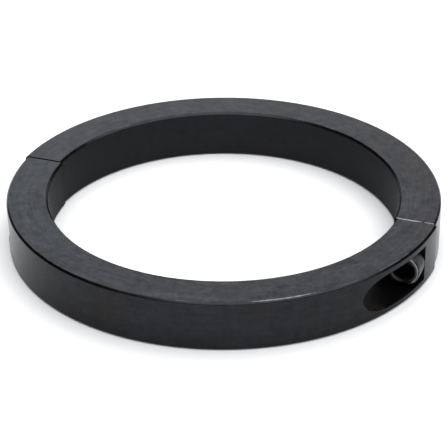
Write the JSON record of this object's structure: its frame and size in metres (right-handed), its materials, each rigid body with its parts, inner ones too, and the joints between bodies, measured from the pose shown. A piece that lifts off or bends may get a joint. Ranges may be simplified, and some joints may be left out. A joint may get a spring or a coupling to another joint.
{
  "type": "shaft collar",
  "caption": "Split clamp-on shaft collar: a chamfered black steel ring in halves, drawn together round a shaft by socket head cap screws seated in side pockets.",
  "frame": {"origin": "centre of the bore in the plane of the lower face, with the halves pushed together", "axes": "+Z along the bore, away from the lower face; X along the joint between the halves, +X towards the screw that sits at the right when the pocketed half faces the viewer; -Y towards the pocketed front half, so the screws lie along Y"},
  "size_m": [0.204, 0.2004, 0.0236],
  "materials": {
    "ring_steel": "black oxide over turned steel, satin",
    "screw_steel": "black oxide alloy steel, slightly oiled"
  },
  "bodies": {
    "front": {"front_half": "ring_steel"},
    "rear": {"rear_half": "ring_steel"},
    "right_screw": {"right_cap_screw": "screw_steel"},
    "left_screw": {"left_cap_screw": "screw_steel"}
  },
  "joints": [
    {"name": "halves_part", "type": "slide", "parent": "front", "child": "rear", "axis": [0, 1, 0], "range_m": [0, 0.015]},
    {"name": "right_screw_turn", "type": "hinge", "parent": "front", "child": "right_screw", "pos_m": [0.0929, -0.01465, 0.0118], "axis": [0, -1, 0], "range_deg": [0, 3600]},
    {"name": "left_screw_turn", "type": "hinge", "parent": "front", "child": "left_screw", "pos_m": [-0.0929, -0.01465, 0.0118], "axis": [0, -1, 0], "range_deg": [0, 3600]}
  ],
  "couplings": [
    {"joint": "right_screw_turn", "follows": "halves_part", "rad_per_m": 4188.8},
    {"joint": "left_screw_turn", "follows": "halves_part", "rad_per_m": 4188.8}
  ]
}
